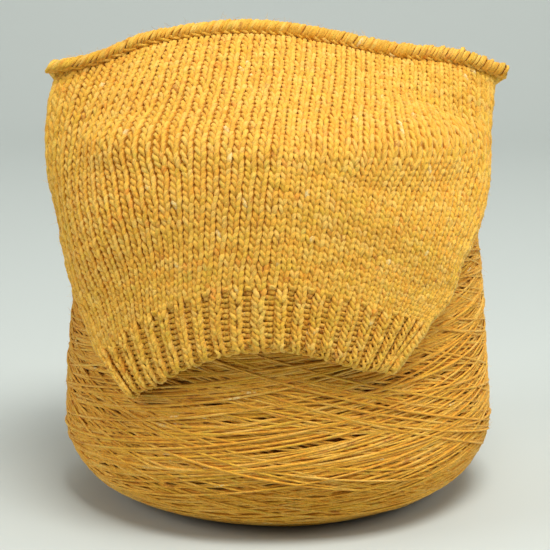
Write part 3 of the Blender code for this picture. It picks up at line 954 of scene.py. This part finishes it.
def fuzz(name, roots, outward, along, length, width, material):
    """A bent ribbon from each root point, lying partly along its yarn and partly off it."""
    count, steps = len(roots), 5
    sideways = unit(np.cross(along, outward))
    heading = rng.normal(0, 1.0, (count, 1)) * along + rng.normal(0, 0.9, (count, 1)) * sideways
    heading = unit(heading + rng.uniform(0.15, 0.9, (count, 1)) * outward)
    bend = unit(rng.normal(0, 1, (count, 3))) * rng.uniform(0.2, 0.9, (count, 1))
    reach = length * rng.uniform(0.5, 1.5, (count, 1, 1))
    t = np.linspace(0, 1, steps)[None, :, None]
    path = roots[:, None] + reach * (heading[:, None] * t + bend[:, None] * t**2 * 0.6)
    face = unit(np.cross(heading, rng.normal(0, 1, (count, 3))))[:, None]
    half = width / 2 * (1 - 0.7 * t)
    points = np.stack([path - face * half, path + face * half], axis=2).reshape(-1, 3)
    points[:, 2] = np.maximum(points[:, 2], 0.0)
    fibre, step = np.meshgrid(np.arange(count), np.arange(steps - 1), indexing="ij")
    first = (fibre * steps + step) * 2
    faces = np.stack([first, first + 1, first + 3, first + 2], -1).reshape(-1, 4)
    low = step / steps * length
    high = (step + 1) / steps * length
    label = fibre + 0.5
    uvs = np.stack(
        [np.stack(pair, -1) for pair in ((low, label), (low, label), (high, label), (high, label))], axis=2
    ).reshape(-1, 2)
    return mesh_piece(name, points, faces, uvs, material)


def knit_fuzz(count):
    stitch = rng.uniform(-0.5, WALES + 0.5, count)
    row = rng.uniform(-ROLL_ROWS, ROWS, count)
    point, normal, _ = cloth.at(stitch, row)
    below, _, _ = cloth.at(stitch, row + 0.3)
    way = np.where(row < 0, -1.0, 1.0)[:, None]
    roots = point + normal * way * rng.uniform(0.7, 1.4, (count, 1)) * MM
    return fuzz("knit_fuzz", roots, normal * way, unit(below - point), 1.7 * MM, 0.10 * MM, fuzz_yarn)


def cone_fuzz(count):
    pick = rng.integers(len(strand_points) // 3, len(strand_points) - 1, count)
    along = unit(strand_points[pick + 1] - strand_points[pick])
    roots = strand_points[pick] + strand_normals[pick] * strand_radii[pick, None]
    return fuzz("cone_fuzz", roots, strand_normals[pick], along, 1.9 * MM, 0.08 * MM, fuzz_yarn)


cloth_fuzz = knit_fuzz(7500)
cone_fuzz(5000)


# Studio: a pale sweep, a soft key from above and in front, a top light, lights at both sides and one on the backdrop

def studio_material(name, colour):
    material = bpy.data.materials.new(name)
    material.use_nodes = True
    shader = material.node_tree.nodes["Principled BSDF"]
    shader.inputs["Base Color"].default_value = (*colour, 1.0)
    socket(shader, "Roughness", 0.9)
    socket(shader, "Specular IOR Level", 0.1)
    return material


def sweep():
    """Floor and backdrop in one curved sheet."""
    turn = np.linspace(0, math.pi / 2, 24)
    bend = 0.5
    back = 1.35
    line = [(-2.2, 0.0), (0.0, 0.0), (back - bend, 0.0)]
    line += [(back - bend + bend * math.sin(a), bend - bend * math.cos(a)) for a in turn[1:]]
    line += [(back, 2.6)]
    half = 2.4
    points = np.array([(x, y, z) for y, z in line for x in (-half, half)])
    rows = len(line)
    faces = np.array([(2 * k, 2 * k + 1, 2 * k + 3, 2 * k + 2) for k in range(rows - 1)])
    mesh = bpy.data.meshes.new("studio_sweep")
    mesh.from_pydata(points.tolist(), [], faces.tolist())
    mesh.shade_smooth()
    mesh.materials.append(studio_material("studio_paper", (0.580, 0.628, 0.606)))
    piece = bpy.data.objects.new("studio_sweep", mesh)
    bpy.context.scene.collection.objects.link(piece)


def area_light(name, place, target, size, power, colour=(1.0, 1.0, 1.0)):
    light = bpy.data.lights.new(name, "AREA")
    light.shape = "RECTANGLE"
    light.size, light.size_y = size
    light.energy = power
    light.color = colour
    holder = bpy.data.objects.new(name, light)
    holder.location = place
    way = np.array(target) - np.array(place)
    holder.rotation_euler = direction_angles(way)
    bpy.context.scene.collection.objects.link(holder)


def direction_angles(way):
    """Euler angles that point a light or camera along a direction, with its top up."""
    flat = math.hypot(way[0], way[1])
    return (math.pi / 2 + math.atan2(way[2], flat), 0.0, math.atan2(-way[0], way[1]))


sweep()
area_light("light_key", (0.22, -0.48, 1.15), (0.0, 0.0, 0.1), (0.60, 0.45), 12.2, (1.0, 0.985, 0.95))
area_light("light_top", (0.1, 0.15, 1.25), (0.0, 0.1, 0.1), (1.2, 1.0), 2.6, (1.0, 0.99, 0.97))
area_light("light_left", (-1.25, -0.40, 0.70), (0.0, 0.0, 0.08), (0.7, 0.7), 7.0, (1.0, 0.99, 0.97))
area_light("light_right", (1.25, -0.35, 0.80), (0.0, 0.0, 0.08), (0.7, 0.7), 6.2, (1.0, 0.99, 0.97))
area_light("light_back", (0.0, 0.45, 1.25), (0.0, 1.35, 0.45), (1.4, 0.5), 4.2, (1.0, 0.99, 0.97))

world = bpy.data.worlds.new("studio_world")
world.use_nodes = True
background = world.node_tree.nodes["Background"]
background.inputs["Color"].default_value = (0.97, 0.98, 0.96, 1.0)
background.inputs["Strength"].default_value = 0.13
bpy.context.scene.world = world

# Camera at the photograph's angle
CAMERA_TILT_DEG = 13.0
CAMERA_DISTANCE = 0.800
AIM_Z = 0.085
tilt = math.radians(CAMERA_TILT_DEG)
lens = bpy.data.cameras.new("camera")
lens.sensor_width = 36.0
lens.lens = 130.65
lens.shift_x = -0.0045
lens.shift_y = 0.0009
lens.clip_start = 0.05
camera = bpy.data.objects.new("camera", lens)
camera.location = (0.0, -CAMERA_DISTANCE * math.cos(tilt), AIM_Z + CAMERA_DISTANCE * math.sin(tilt))
camera.rotation_euler = (math.pi / 2 - tilt, 0.0, 0.0)
bpy.context.scene.collection.objects.link(camera)
bpy.context.scene.camera = camera
bpy.context.scene.view_settings.view_transform = "Standard"
bpy.context.scene.view_settings.look = "None"
